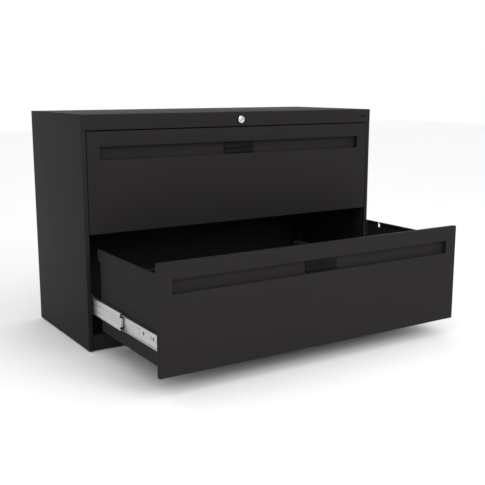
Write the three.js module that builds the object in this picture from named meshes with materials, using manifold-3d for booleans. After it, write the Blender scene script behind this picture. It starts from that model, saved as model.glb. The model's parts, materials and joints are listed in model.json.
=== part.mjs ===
// Two-drawer lateral filing cabinet in folded sheet steel, millimetres.
// X runs to the right, Y to the back and Z up. The origin is on the floor, halfway across the
// cabinet, under the plane of its front. The lower drawer is drawn fully open, the upper one shut.
import * as THREE from "three";
import { mergeVertices } from "three/addons/utils/BufferGeometryUtils.js";
import Module from "manifold-3d";

const wasm = await Module();
wasm.setup();

// ---- driving dimensions -------------------------------------------------------------------

const caseWidth = 1067;
const caseDepth = 438;
const footStandoff = 3;        // floor to the underside of the case
const baseHeight = 46;         // toe rail under the lower drawer
const frontHeight = 298;       // one drawer front
const headerHeight = 45;       // rail above the upper drawer
const reveal = 3;              // gap above and below a drawer front
const sideReveal = 2;          // gap between a drawer front and the stile beside it
const stileWidth = 13;         // front edge of a side panel
const sheet = 1;               // case, front and drawer steel
const gauge = 1.3;             // uprights and slide members
const clearance = 0.3;         // between pieces that touch
const returnDepth = 12.5;      // folded edges of fronts and stiles

const uprightFront = 14.5;     // first upright, behind the front plane
const uprightDepth = 46;       // both uprights, front to back
const rearUprightGap = 8;      // behind the rear upright
const rearFlange = 18;         // side panel's fold across the back
const rearLip = 19;            // top's fold at the back, just above that flange's end
const headerFold = 11;         // header's last fold, upwards
const toeSetback = 2;          // toe rail, behind the front plane
const toeFold = 20;
const toeLip = 9;
const linerSetback = 16;       // stiffener behind the header
const linerFold = 18;
const lockZoneHeight = 37;     // room kept clear above the uprights for the lock's bar

const slideHeight = 60;        // fixed outer member
const slideThickness = 13;     // all three members together
const slideStart = 18;         // slide's front end, behind the front plane
const slideRise = 88.5;        // slide's centre line above the bottom of the front
const ballGap = 3.4;           // race between two members
const ballRadius = 1.5;
const ballsInRow = 5;
const outerCageLength = 150;
const innerCageLength = 120;

const drawerTravel = caseDepth; // full extension
const boxRise = 21.5;          // drawer body's lower edge above the bottom of the front
const sideDrop = 35.5;         // top of the front to the top of the drawer side
const boxHeight = frontHeight - boxRise - sideDrop;
const rearRoom = 22.5;         // from a shut drawer's ears to the back of the case
const backHeight = 168;        // drawer back, lower than the sides
const floorLift = 3;           // drawer bottom above the body's lower edge
const floorRim = 12;           // drawer bottom's edges, turned up inside the sides
const earHeight = 35;          // tab at the top rear of a drawer side
const earLength = 19;
const rearFold = 15;           // drawer side's fold behind the drawer back
const boxDepth = caseDepth - rearRoom - earLength - returnDepth - sheet;
const hemWidth = 6;            // folded top edges of the drawer body
const notchFromEar = 52;       // rail notch, ahead of the right side's rear edge
const notchWidth = 8;
const notchDepth = 18;

const pullMargin = 39.5;       // each end of the front to the opening of the full-width pull
const pullHeight = 38.5;
const pullTopMargin = 44.5;    // front's top edge to the pull
const pullDepth = 16;
const fingerRoom = 12;         // pocket above the opening, behind the front
const pullFlange = 9;          // channel's edges that lie against the front
const labelWidth = 110;
const labelThickness = 2;
const labelRib = 2.5;
const labelRibHeight = 4;

const dividerOffset = 80;      // divider's place, right of the middle
const dividerHeight = boxHeight - 10;
const dividerTopLength = 222;
const dividerFootLength = 250;
const dividerFootWidth = 40;

const lockDrop = 24.5;         // top of the case to the lock's axis
const lockHeadRadius = 11.5;
const lockBodyRadius = 9.5;
const lockBodyLength = 29;
const lockBezelRadius = 14.5;
const headStandout = 2.5;      // barrel's head in front of the header
const plugRadius = 6;
const tailSize = 6;
const camRadius = 9;
const camThickness = 2.5;
const camPinThrow = 5.66;      // pin's distance from the lock's axis
const camPinRadius = 2;
const barTravel = Math.SQRT2 * camPinThrow;
const barHeight = 14;
const barThickness = 2;
const barFace = 36.5;          // plane of the bar and the rod, behind the front
const barLeft = -40;
const slack = 0.8;             // room at each end of a moving part's slot
const rodWidth = 8;
const lugHeight = 12;
const lugRise = 154;           // lug's lower edge above the bottom of the front
const lugReach = 3.8;          // from the drawer side to the lug's tip
const rodFootRise = 60;        // rod's lower end above the upright's
const hookDrop = 3;            // drawer's hook below the raised lug
const hookThickness = 3;
const hookHeight = 11;
const hookReach = 7.5;

const glideRadius = 16;
const glideInset = 36;         // glide's axis from the side and from the front or back
const glideStemRadius = 4;
const glideStemLength = 20;
const weightHeight = 12;       // counterweight plate in the base
const weightDepth = 150;
const weightMargin = 153.5;    // from each side of the case
const weightGap = 12;          // to the back panel

// ---- places worked out from them ----------------------------------------------------------

const half = caseWidth / 2;
const caseBottom = footStandoff;
const baseTop = caseBottom + baseHeight;
const frontBottoms = { lower: baseTop + reveal, upper: baseTop + 2 * reveal + frontHeight };
const headerBottom = frontBottoms.upper + frontHeight + reveal;
const caseTop = headerBottom + headerHeight;
const innerHalf = half - sheet - clearance;
const stileInner = half - stileWidth;
const uprightFace = stileInner - 0.7;     // proud of the stile, to carry the slides
const slideFace = uprightFace - clearance;
const drawerHalf = slideFace - slideThickness - clearance;
const frontHalf = stileInner - sideReveal;
const pullHalf = frontHalf - pullMargin;
const panFloor = caseBottom + clearance;
const panTop = panFloor + gauge;
const uprightBottom = panTop + clearance;
const uprightTop = caseTop - lockZoneHeight;
const backFace = caseDepth - sheet - clearance - sheet;

// ---- helpers ------------------------------------------------------------------------------

const grid = 1024;             // steps to the millimetre

/** Solid for joining and cutting, from any closed three.js geometry. Its points snap to a fine
 * grid that 32-bit numbers hold exactly, so faces meant to be level are exactly level. */
function solidOf(geometry) {
  const bare = geometry.index ? geometry.toNonIndexed() : geometry.clone();
  bare.deleteAttribute("normal");
  bare.deleteAttribute("uv");
  const positions = bare.attributes.position;
  positions.array.forEach((value, i) => { positions.array[i] = Math.round(value * grid) / grid; });
  const merged = mergeVertices(bare, 1e-4);
  return new wasm.Manifold(new wasm.Mesh({
    numProp: 3,
    vertProperties: new Float32Array(merged.attributes.position.array),
    triVerts: new Uint32Array(merged.index.array),
  }));
}

/** three.js geometry of a joined or cut solid. */
function geometryOf(solid) {
  const mesh = solid.getMesh();
  const geometry = new THREE.BufferGeometry();
  geometry.setAttribute("position", new THREE.Float32BufferAttribute(mesh.vertProperties, 3));
  geometry.setIndex([...mesh.triVerts]);
  geometry.computeVertexNormals();
  return geometry;
}

/** Block between two values along each axis, in either order, and a test for points inside it. */
const block = (...spans) => spans.map(([a, b]) => [Math.min(a, b), Math.max(a, b)]);
const holds = (spans, point) => spans.every(([low, high], i) => low < point[i] && point[i] < high);

/** Folded sheet as one closed skin: the space inside any of the blocks and outside all of the cuts.
 * Space is divided along every face of every block, and a full cell shows a face to each empty one. */
function sheetwork(blocks, cuts = []) {
  const snap = (value) => Math.round(value * grid) / grid;
  const lines = [0, 1, 2].map((axis) =>
    [...new Set([...blocks, ...cuts].flatMap((spans) => spans[axis].map(snap)))].sort((a, b) => a - b));
  const full = (cell) => {
    if (cell.some((c, axis) => c < 0 || c > lines[axis].length - 2)) return false;
    const middle = cell.map((c, axis) => (lines[axis][c] + lines[axis][c + 1]) / 2);
    return blocks.some((spans) => holds(spans, middle)) && !cuts.some((spans) => holds(spans, middle));
  };
  const points = [];
  const known = new Map();
  const corner = (at) => {
    const key = at.join();
    if (!known.has(key)) known.set(key, points.push(...at.map((c, axis) => lines[axis][c])) / 3 - 1);
    return known.get(key);
  };
  const faces = [];
  for (let i = 0; i < lines[0].length - 1; i += 1) {
    for (let j = 0; j < lines[1].length - 1; j += 1) {
      for (let k = 0; k < lines[2].length - 1; k += 1) {
        const cell = [i, j, k];
        if (full(cell)) for (const axis of [0, 1, 2]) for (const end of [0, 1]) {
          const beside = cell.with(axis, cell[axis] + (end ? 1 : -1));
          if (!full(beside)) {
            const [u, v] = end ? [(axis + 1) % 3, (axis + 2) % 3] : [(axis + 2) % 3, (axis + 1) % 3];
            const base = cell.with(axis, cell[axis] + end);
            const [p, q, r, t] = [[0, 0], [1, 0], [1, 1], [0, 1]].map(([du, dv]) =>
              corner(base.with(u, base[u] + du).with(v, base[v] + dv)));
            faces.push(p, q, r, p, r, t);
          }
        }
      }
    }
  }
  const geometry = new THREE.BufferGeometry();
  geometry.setAttribute("position", new THREE.Float32BufferAttribute(points, 3));
  geometry.setIndex(faces);
  return solidOf(geometry);
}

/** Outline of [horizontal, vertical] points, given thickness along Y from y0 to y1. */
function plateXZ(points, [y0, y1]) {
  const shape = new THREE.Shape(points.map(([x, z]) => new THREE.Vector2(x, z)));
  const geometry = new THREE.ExtrudeGeometry(shape, { depth: Math.abs(y1 - y0), bevelEnabled: false });
  geometry.rotateX(Math.PI / 2);
  geometry.translate(0, Math.max(y0, y1), 0);
  return solidOf(geometry);
}

/** Outline of [y, z] points, given thickness along X from x0 to x1. */
function plateYZ(points, [x0, x1]) {
  const shape = new THREE.Shape(points.map(([y, z]) => new THREE.Vector2(y, z)));
  const geometry = new THREE.ExtrudeGeometry(shape, { depth: Math.abs(x1 - x0), bevelEnabled: false });
  geometry.rotateX(Math.PI / 2);
  geometry.rotateZ(Math.PI / 2);
  geometry.translate(Math.min(x0, x1), 0, 0);
  return solidOf(geometry);
}

/** Round bar along Y or Z, centred on the other two axes. */
function bar(axis, radius, from, to, centre, sides = 32) {
  const geometry = new THREE.CylinderGeometry(radius, radius, to - from, sides);
  if (axis === "z") geometry.rotateX(Math.PI / 2);
  const middle = (from + to) / 2;
  if (axis === "y") geometry.translate(centre[0], middle, centre[1]);
  else geometry.translate(centre[0], centre[1], middle);
  return solidOf(geometry);
}

const join = (...solids) => solids.reduce((whole, solid) => whole.add(solid));
const cut = (solid, ...tools) => tools.reduce((whole, tool) => whole.subtract(tool), solid);

const paint = { color: 0x2d2b2c, metalness: 0.25, roughness: 0.5 };
const zinc = { color: 0xb9bbbd, metalness: 0.9, roughness: 0.35 };
const nickel = { color: 0xc9c7c4, metalness: 1.0, roughness: 0.22 };
const plastic = { color: 0x151516, metalness: 0.0, roughness: 0.45 };
const rawSteel = { color: 0x6d6e70, metalness: 0.85, roughness: 0.5 };

const cabinet = new THREE.Group();

/** Adds one named piece to a group. */
function piece(parent, name, solid, finish) {
  const mesh = new THREE.Mesh(geometryOf(solid), new THREE.MeshStandardMaterial(finish));
  mesh.name = name;
  parent.add(mesh);
  return mesh;
}

// ---- case ---------------------------------------------------------------------------------

/** Side panel: skin, front stile with its return, and a flange across the back. */
function sidePanel(side) {
  const outer = side * half;
  const inner = side * (half - sheet);
  const stileEdge = side * stileInner;
  const stileTop = headerBottom - clearance;
  const skinTop = caseTop - sheet - clearance;
  return sheetwork([
    block([outer, inner], [sheet + clearance, caseDepth], [caseBottom, skinTop]),
    block([outer, stileEdge], [0, sheet], [caseBottom, stileTop]),
    block([outer, inner], [0, sheet + 2 * clearance], [caseBottom, stileTop]),
    block([stileEdge, side * (stileInner + sheet)], [0, returnDepth], [caseBottom, stileTop]),
    block([outer, side * (half - rearFlange)], [caseDepth - sheet, caseDepth],
      [caseBottom, caseTop - rearLip - sheet]),
  ]);
}

/** Top with the header folded down at the front and a lip at the back. */
function topPanel() {
  const whole = sheetwork([
    block([-half, half], [0, caseDepth], [caseTop - sheet, caseTop]),
    block([-half, half], [0, sheet], [headerBottom, caseTop]),
    block([-innerHalf, innerHalf], [caseDepth - sheet, caseDepth], [caseTop - rearLip, caseTop]),
    block([-innerHalf, innerHalf], [0, returnDepth], [headerBottom, headerBottom + sheet]),
    block([-innerHalf, innerHalf], [returnDepth - sheet, returnDepth],
      [headerBottom, headerBottom + headerFold]),
  ]);
  return cut(whole, bar("y", lockBodyRadius + clearance, -sheet, 2 * sheet, [0, caseTop - lockDrop]));
}

/** Name and axis of each glide. */
const glidePlaces = [];
for (const [end, y] of [["front", glideInset], ["rear", caseDepth - glideInset]]) {
  for (const [hand, side] of [["left", -1], ["right", 1]]) {
    glidePlaces.push([`glide_${end}_${hand}`, side * (half - glideInset - stileWidth), y]);
  }
}

/** Base pan: floor, and a toe rail set back a little between the stiles. */
function basePan() {
  const toeBack = toeSetback + toeFold;
  const stemHoles = glidePlaces.map(([, x, y]) =>
    bar("z", glideStemRadius + clearance, caseBottom - 1, panTop + 1, [x, y], 24));
  return cut(sheetwork([
    block([-innerHalf, innerHalf], [uprightFront - 1, backFace - clearance], [panFloor, panTop]),
    block([-slideFace, slideFace], [toeSetback, uprightFront], [panFloor, panTop]),
    block([-slideFace, slideFace], [toeSetback, toeSetback + sheet], [panFloor, baseTop]),
    block([-slideFace, slideFace], [toeSetback, toeBack], [baseTop - sheet, baseTop]),
    block([-slideFace, slideFace], [toeBack - sheet, toeBack], [baseTop - toeLip, baseTop]),
  ]), ...stemHoles);
}

/** Upright: channel against the side panel that carries the slides, with any slots cut in it. */
function upright(side, front, slots = []) {
  const back = front + uprightDepth;
  const web = side * uprightFace;
  const wall = side * innerHalf;
  const tall = [uprightBottom, uprightTop];
  return sheetwork([
    block([web, side * (uprightFace + gauge)], [front, back], tall),
    block([web, wall], [front, front + gauge], tall),
    block([web, wall], [back - gauge, back], tall),
  ], slots);
}

/** Heights of the two lugs on the interlock rod. */
const lugBottoms = [frontBottoms.lower + lugRise, frontBottoms.upper + lugRise];
const barPlane = [barFace, barFace + barThickness];

/** Slots in the front right upright that the lugs move up and down in. */
const lugSlots = lugBottoms.map((bottom) => block([uprightFace - 1, uprightFace + gauge],
  [barPlane[0] - slack, barPlane[1] + slack], [bottom - barTravel - slack, bottom + lugHeight + slack]));

const caseGroup = new THREE.Group();
cabinet.add(caseGroup);
const rearUpright = backFace - rearUprightGap - uprightDepth;
piece(caseGroup, "side_panel_left", sidePanel(-1), paint);
piece(caseGroup, "side_panel_right", sidePanel(1), paint);
piece(caseGroup, "top_panel", topPanel(), paint);
piece(caseGroup, "back_panel", sheetwork([block([-innerHalf, innerHalf], [backFace, backFace + sheet],
  [uprightBottom, caseTop - sheet - clearance])]), paint);
piece(caseGroup, "base_pan", basePan(), paint);
piece(caseGroup, "upright_front_left", upright(-1, uprightFront), paint);
piece(caseGroup, "upright_front_right", upright(1, uprightFront, lugSlots), paint);
piece(caseGroup, "upright_rear_left", upright(-1, rearUpright), paint);
piece(caseGroup, "upright_rear_right", upright(1, rearUpright), paint);
const weightHalf = half - weightMargin;
const weightBack = backFace - weightGap;
piece(caseGroup, "counterweight", sheetwork([block([-weightHalf, weightHalf],
  [weightBack - weightDepth, weightBack], [panTop + clearance, panTop + weightHeight])]), rawSteel);

/** Stiffener behind the header, which also holds the lock's body. */
function headerLiner() {
  const face = linerSetback;
  const top = caseTop - sheet - clearance;
  const strip = sheetwork([
    block([-slideFace, slideFace], [face, face + sheet], [headerBottom + 2 * sheet, top]),
    block([-slideFace, slideFace], [face, face + linerFold], [top - sheet, top]),
  ]);
  const lockHole = bar("y", lockBodyRadius + clearance, face - 1, face + sheet + 1, [0, caseTop - lockDrop]);
  return cut(strip, lockHole);
}
piece(caseGroup, "header_liner", headerLiner(), paint);

// ---- levelling glides ---------------------------------------------------------------------

/** Round foot with a hexagon and a threaded stem that passes the base pan. */
function glide(x, y) {
  const foot = new THREE.LatheGeometry([[0, 0], [glideRadius - 2, 0], [glideRadius, 1],
    [glideRadius, footStandoff - 1], [glideStemRadius, footStandoff - 0.4], [glideStemRadius,
      glideStemLength], [0, glideStemLength]].map(([r, z]) => new THREE.Vector2(r, z)), 24);
  foot.rotateX(Math.PI / 2);
  foot.translate(x, y, 0);
  return solidOf(foot);
}

for (const [name, x, y] of glidePlaces) piece(cabinet, name, glide(x, y), plastic);

// ---- lock ---------------------------------------------------------------------------------

const lockZ = caseTop - lockDrop;

/** Turned piece on the lock's axis, from [radius, y] points listed front to back. */
function turned(points, segments = 40) {
  const geometry = new THREE.LatheGeometry(points.map(([r, y]) => new THREE.Vector2(r, y)), segments);
  geometry.translate(0, 0, lockZ);
  return solidOf(geometry);
}

const bore = plugRadius + clearance;
const bezelBore = lockHeadRadius + clearance;
const bezelFace = -headStandout + 0.5;
piece(caseGroup, "lock_bezel", turned([[bezelBore, bezelFace], [lockBezelRadius, bezelFace],
  [lockBezelRadius + 0.5, -clearance], [bezelBore, -clearance], [bezelBore, bezelFace]]), plastic);
piece(caseGroup, "lock_barrel", turned([[bore, -headStandout], [lockHeadRadius, -headStandout],
  [lockHeadRadius, -clearance], [lockBodyRadius, -clearance], [lockBodyRadius, lockBodyLength],
  [bore, lockBodyLength], [bore, -headStandout]]), nickel);

const tailEnd = barFace - 1.4;
const camBack = tailEnd - clearance;
const camFront = camBack - camThickness;
const square = tailSize / 2;
const plug = join(
  bar("y", plugRadius, -headStandout - 0.5, lockBodyLength + 1, [0, lockZ], 40),
  sheetwork([block([-square, square], [lockBodyLength, tailEnd], [lockZ - square, lockZ + square])]),
);
const keyHalf = 0.6 * plugRadius;
const keySlot = sheetwork([block([-0.6, 0.6], [-4, 8], [lockZ - keyHalf, lockZ + keyHalf])]);
piece(cabinet, "lock_plug", cut(plug, keySlot), nickel);

const pinX = -camPinThrow * Math.SQRT1_2;
const pinZ = lockZ + camPinThrow * Math.SQRT1_2;
const hole = square + clearance;
const cam = join(
  bar("y", camRadius, camFront, camBack, [0, lockZ], 32),
  bar("y", camPinRadius, camFront, barPlane[1] + 1.5, [pinX, pinZ], 16),
);
const tailRoom = sheetwork([
  block([-hole, hole], [camFront - 1, tailEnd + clearance], [lockZ - hole, lockZ + hole]),
]);
piece(cabinet, "lock_cam", cut(cam, tailRoom), zinc);

/** Bar behind the header: a slot for the cam's pin, and a ramp that drives the rod. */
const barBottom = lockZ + 1.5;
const barTop = barBottom + barHeight;
const barTip = innerHalf - slack - barTravel;
const slotHalf = camPinRadius + slack;
const lockBar = cut(
  plateXZ([[barLeft, barBottom], [barTip - barHeight, barBottom], [barTip, barTop],
    [barLeft, barTop]], barPlane),
  sheetwork([block([pinX - slotHalf, pinX + slotHalf], [barFace - 1, barPlane[1] + 1],
    [pinZ - slotHalf, lockZ + camPinThrow + slotHalf])]),
);
piece(cabinet, "lock_bar", lockBar, zinc);

/** Rod in the front right upright: sloped head under the bar's ramp, and a lug for each drawer. */
const rodLeft = uprightFace + gauge + 0.7;
const rodRight = rodLeft + rodWidth;
const rampRise = barTop - barTip - slack;
const lugTip = drawerHalf + lugReach;
const lugEdge = lugBottoms.toReversed().flatMap((bottom) => [[rodLeft, bottom + lugHeight],
  [lugTip, bottom + lugHeight], [lugTip, bottom], [rodLeft, bottom]]);
const rodFoot = uprightBottom + rodFootRise;
const rod = plateXZ([[rodLeft, rodFoot], [rodRight, rodFoot], [rodRight, rodRight + rampRise],
  [rodLeft, rodLeft + rampRise], ...lugEdge], barPlane);
piece(cabinet, "interlock_rod", rod, zinc);

// ---- slides -------------------------------------------------------------------------------

const slideLength = rearUpright + uprightDepth - 2 - slideStart;
const outerHalf = slideHeight / 2;
const middleHalf = outerHalf - gauge - ballGap;
const slimHalf = middleHalf - gauge - ballGap;
const innerLength = boxDepth - 4;
const middleWeb = 2 * gauge;
const innerFlange = middleWeb + gauge + 1.1;
const webOfInner = slideThickness - gauge;

/** Channel lying along Y: a web at one depth and two flanges, depths counted from the upright. */
function channel(side, height, web, lip, [y0, y1], z) {
  const x = (depth) => side * (slideFace - depth);
  const flange = [x(Math.min(web, lip)), x(Math.max(web + gauge, lip))];
  return sheetwork([
    block([x(web), x(web + gauge)], [y0, y1], [z - height, z + height]),
    block(flange, [y0, y1], [z + height - gauge, z + height]),
    block(flange, [y0, y1], [z - height, z - height + gauge]),
  ]);
}

/** Ball cage: a thin strip bent round the web, with balls held in both races. */
function cage(side, raceCentre, web, reach, ballDepth, [y0, y1], z) {
  const thin = 0.5;
  const x = (depth) => side * (slideFace - depth);
  const strips = [block([x(web), x(web + thin)], [y0, y1], [z - raceCentre, z + raceCentre])];
  const balls = [];
  for (const up of [-1, 1]) {
    const race = z + up * raceCentre;
    strips.push(block([x(web), x(reach)], [y0, y1], [race - thin / 2, race + thin / 2]));
    for (let i = 0; i < ballsInRow; i += 1) {
      const ball = new THREE.IcosahedronGeometry(ballRadius);
      ball.translate(x(ballDepth), y0 + ((i + 0.5) * (y1 - y0)) / ballsInRow, race);
      balls.push(solidOf(ball));
    }
  }
  return join(sheetwork(strips), ...balls);
}

// ---- drawers ------------------------------------------------------------------------------

/** Drawer front with four folded edges and the opening of the pull. */
function drawerFront(y, bottom) {
  const top = bottom + frontHeight;
  const deep = [y, y + returnDepth];
  const pullTop = top - pullTopMargin;
  return sheetwork([
    block([-frontHalf, frontHalf], [y, y + sheet], [bottom, top]),
    block([-frontHalf, frontHalf], deep, [bottom, bottom + sheet]),
    block([-frontHalf, frontHalf], deep, [top - sheet, top]),
    block([-frontHalf, -frontHalf + sheet], deep, [bottom, top]),
    block([frontHalf - sheet, frontHalf], deep, [bottom, top]),
  ], [
    block([-pullHalf, pullHalf], [y - 1, y + sheet], [pullTop - pullHeight, pullTop]),
  ]);
}

/** Channel behind the opening: shelf, back wall, finger pocket and two ends. */
function pullChannel(y, bottom) {
  const opening = bottom + frontHeight - pullTopMargin;
  const face = y + sheet + clearance;
  const back = face + pullDepth;
  const low = opening - pullHeight - sheet - clearance;
  const high = opening + fingerRoom;
  const ends = pullHalf + clearance;
  const wide = [-ends - sheet, ends + sheet];
  return sheetwork([
    block(wide, [face, face + sheet], [low - pullFlange, low + sheet]),
    block(wide, [face, back], [low, low + sheet]),
    block(wide, [back - sheet, back], [low, high + sheet]),
    block(wide, [face, back], [high, high + sheet]),
    block(wide, [face, face + sheet], [high, high + pullFlange]),
    block([-ends - sheet, -ends], [face, back], [low, high + sheet]),
    block([ends, ends + sheet], [face, back], [low, high + sheet]),
  ]);
}

/** Label holder on the channel's back wall: a plate with three ribs. */
function labelHolder(y, bottom) {
  const opening = bottom + frontHeight - pullTopMargin;
  const back = y + sheet + clearance + pullDepth - sheet - clearance;
  const low = opening - pullHeight + 1;
  const high = opening - 1;
  const wide = [-labelWidth / 2, labelWidth / 2];
  const middle = (low + high) / 2;
  const ribs = [low, middle - labelRibHeight / 2, high - labelRibHeight].map((z) =>
    block(wide, [back - labelThickness - labelRib, back - labelThickness / 2], [z, z + labelRibHeight]));
  return sheetwork([block(wide, [back - labelThickness, back], [low, high]), ...ribs]);
}

/** The front liner stands right behind the pull channel, and the drawer's inside starts behind it. */
const linerPlane = (y) => y + sheet + clearance + pullDepth + clearance;
const behindLiner = (y) => linerPlane(y) + sheet + clearance;

/** Drawer side: sheet with a hemmed top, a fold and an ear at the rear and, on the right one, a
 * notch for a rail and the hook that the interlock's lug catches. */
function drawerSide(side, y, bottom) {
  const low = bottom + boxRise;
  const top = low + boxHeight;
  const start = y + returnDepth + sheet;
  const end = start + boxDepth;
  const outer = side * drawerHalf;
  const inner = side * (drawerHalf - sheet);
  const hemEdge = side * (drawerHalf - hemWidth);
  const blocks = [
    block([outer, inner], [start, end], [low, top]),
    block([outer, inner], [end, end + earLength], [top - earHeight, top]),
    block([outer, hemEdge], [behindLiner(y), end + earLength], [top - sheet, top]),
    block([outer, side * (drawerHalf - rearFold)], [end - sheet, end], [low, top]),
  ];
  if (side < 0) return sheetwork(blocks);
  const notchEnd = end - notchFromEar;
  const notch = block([outer, hemEdge], [notchEnd - notchWidth, notchEnd], [top - notchDepth, top]);
  const hookTop = bottom + lugRise - hookDrop;
  const hookFront = y + barPlane[1] + 2;
  blocks.push(block([inner, outer + hookReach], [hookFront, hookFront + hookThickness],
    [hookTop - hookHeight, hookTop]));
  return sheetwork(blocks, [notch]);
}

/** Everything that rides on one drawer, with its two slides. */
function drawer(name, y) {
  const bottom = frontBottoms[name];
  const low = bottom + boxRise;
  const start = y + returnDepth + sheet;
  const end = start + boxDepth;
  const insideHalf = drawerHalf - sheet - clearance;
  const floor = low + floorLift;
  const group = new THREE.Group();
  cabinet.add(group);

  piece(group, `${name}_drawer_front`, drawerFront(y, bottom), paint);
  piece(group, `${name}_pull_channel`, pullChannel(y, bottom), paint);
  piece(group, `${name}_label_holder`, labelHolder(y, bottom), plastic);
  piece(group, `${name}_drawer_side_left`, drawerSide(-1, y, bottom), paint);
  piece(group, `${name}_drawer_side_right`, drawerSide(1, y, bottom), paint);

  const linerFace = linerPlane(y);
  const linerTop = bottom + frontHeight - sheet - clearance;
  const linerLip = y + returnDepth - 3;
  piece(group, `${name}_front_liner`, sheetwork([
    block([-insideHalf, insideHalf], [linerFace, linerFace + sheet], [low, linerTop]),
    block([-insideHalf, insideHalf], [linerLip, linerFace + sheet], [linerTop - sheet, linerTop]),
  ]), paint);

  const backPlane = end - 2 * sheet - clearance;
  const trough = insideHalf - sheet;
  const rim = floor + floorRim;
  piece(group, `${name}_drawer_bottom`, plateXZ([[-insideHalf, floor], [insideHalf, floor],
    [insideHalf, rim], [trough, rim], [trough, floor + sheet], [-trough, floor + sheet],
    [-trough, rim], [-insideHalf, rim]], [behindLiner(y), backPlane - clearance]), paint);

  const backTop = low + backHeight;
  piece(group, `${name}_drawer_back`, sheetwork([
    block([-insideHalf, insideHalf], [backPlane, backPlane + sheet], [low, backTop]),
    block([-insideHalf, insideHalf], [backPlane + sheet - hemWidth, backPlane + sheet],
      [backTop - sheet, backTop]),
  ]), paint);

  const footing = floor + sheet + clearance;
  const plate = [dividerOffset, dividerOffset + sheet];
  const dividerStart = linerFace + sheet + 4;
  const plateFoot = footing + sheet / 2;
  const plateStart = dividerStart + sheet;
  piece(group, `${name}_divider`, join(
    sheetwork([block([dividerOffset - sheet / 2, dividerOffset + dividerFootWidth],
      [dividerStart, dividerStart + dividerFootLength], [footing, footing + sheet])]),
    plateYZ([[plateStart, plateFoot], [dividerStart + dividerFootLength - sheet, plateFoot],
      [dividerStart + dividerTopLength, footing + dividerHeight],
      [plateStart, footing + dividerHeight]], plate),
  ), paint);

  const z = bottom + slideRise;
  for (const [hand, side] of [["left", -1], ["right", 1]]) {
    const inner = [y + slideStart, y + slideStart + innerLength];
    const middleStart = slideStart + y / 2;
    const middle = [middleStart, middleStart + slideLength - 4];
    piece(group, `${name}_slide_inner_${hand}`,
      channel(side, slimHalf, webOfInner, innerFlange, inner, z), zinc);
    piece(group, `${name}_slide_middle_${hand}`,
      channel(side, middleHalf, middleWeb, webOfInner - clearance, middle, z), zinc);
    piece(group, `${name}_slide_outer_${hand}`,
      channel(side, outerHalf, 0, slideThickness - gauge, [slideStart, slideStart + slideLength], z), zinc);

    const outerStart = slideStart + 22 + drawerTravel / 4 + y / 4;
    piece(group, `${name}_cage_outer_${hand}`, cage(side, middleHalf + ballGap / 2, gauge + 0.4,
      9, 7, [outerStart, outerStart + outerCageLength], z), zinc);
    const innerStart = slideStart + 16 + drawerTravel / 4 + (3 * y) / 4 + 8;
    piece(group, `${name}_cage_inner_${hand}`, cage(side, slimHalf + ballGap / 2, middleWeb + gauge + 0.3,
      9.5, 7.5, [innerStart, innerStart + innerCageLength], z), zinc);
  }
}

drawer("lower", -drawerTravel);
drawer("upper", 0);

export default cabinet;
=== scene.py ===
# %% Load the frame
import json
import math

import bmesh
import bpy
import numpy as np
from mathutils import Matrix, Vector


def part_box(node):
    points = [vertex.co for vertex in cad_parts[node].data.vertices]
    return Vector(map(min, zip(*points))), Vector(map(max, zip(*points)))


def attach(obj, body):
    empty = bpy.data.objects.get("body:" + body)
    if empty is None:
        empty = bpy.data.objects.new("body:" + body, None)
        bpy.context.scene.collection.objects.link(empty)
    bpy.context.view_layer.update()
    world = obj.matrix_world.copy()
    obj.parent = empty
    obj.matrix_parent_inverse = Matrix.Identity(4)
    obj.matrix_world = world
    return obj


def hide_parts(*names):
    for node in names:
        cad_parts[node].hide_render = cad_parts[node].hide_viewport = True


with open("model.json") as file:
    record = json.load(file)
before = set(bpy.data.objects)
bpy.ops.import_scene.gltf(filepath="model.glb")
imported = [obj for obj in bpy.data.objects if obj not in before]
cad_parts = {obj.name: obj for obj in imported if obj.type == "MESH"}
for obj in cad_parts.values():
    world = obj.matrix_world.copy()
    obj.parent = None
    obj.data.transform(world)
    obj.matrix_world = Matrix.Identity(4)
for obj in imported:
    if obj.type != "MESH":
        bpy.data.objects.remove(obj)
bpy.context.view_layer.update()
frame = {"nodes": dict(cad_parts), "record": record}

MM = 0.001

# %% [markdown]
# # A lateral filing cabinet in folded steel
# The cabinet is a box of thin sheet, folded at every edge so that it is stiff, with two wide
# drawers on ball-bearing slides. Its charcoal powder coat is almost one flat grey, so what the eye
# reads is the light on the folds, the shadow in the gaps and the bright zinc of the slide. The
# lesson sets up the camera and light first, then the finishes, and then each piece in turn.
# Lengths in the shape functions are millimetres, and become metres when a mesh is made.

# %% [markdown]
# ## Camera, light and floor
# The view is from the front left, a little above the top. A dark object wants
# a white room: a white world fills the shadows, one large soft light stands to the left and in
# front, one hangs overhead to draw the top edges, and a fill looks into the open bay.

# %% Camera
scene = bpy.context.scene
scene.view_settings.view_transform = "Standard"
camera = bpy.data.objects.new("camera", bpy.data.cameras.new("camera"))
scene.collection.objects.link(camera)
scene.camera = camera
camera.data.lens = 59.54
camera.data.sensor_width = 36.0
camera.location = (-1.3671, -2.1687, 0.7769)
camera.rotation_euler = (math.radians(90 - 11.008), 0, math.radians(-32.319))
print("camera at", tuple(camera.location))

# %% World and lamps
world = bpy.data.worlds.new("studio")
scene.world = world
world.use_nodes = True
world.node_tree.nodes["Background"].inputs["Color"].default_value = (1, 1, 1, 1)
world.node_tree.nodes["Background"].inputs["Strength"].default_value = 1.0


def soft_lamp(name, size, power, place, aim):
    """A square area lamp at place, turned so that it shines towards aim."""
    lamp = bpy.data.objects.new(name, bpy.data.lights.new(name, "AREA"))
    lamp.data.size = size
    lamp.data.energy = power
    lamp.location = place
    direction = np.subtract(aim, place)
    flat = math.hypot(direction[0], direction[1])
    lamp.rotation_euler = (math.atan2(flat, -direction[2]), 0, math.atan2(-direction[0], direction[1]))
    scene.collection.objects.link(lamp)
    return lamp


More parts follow.
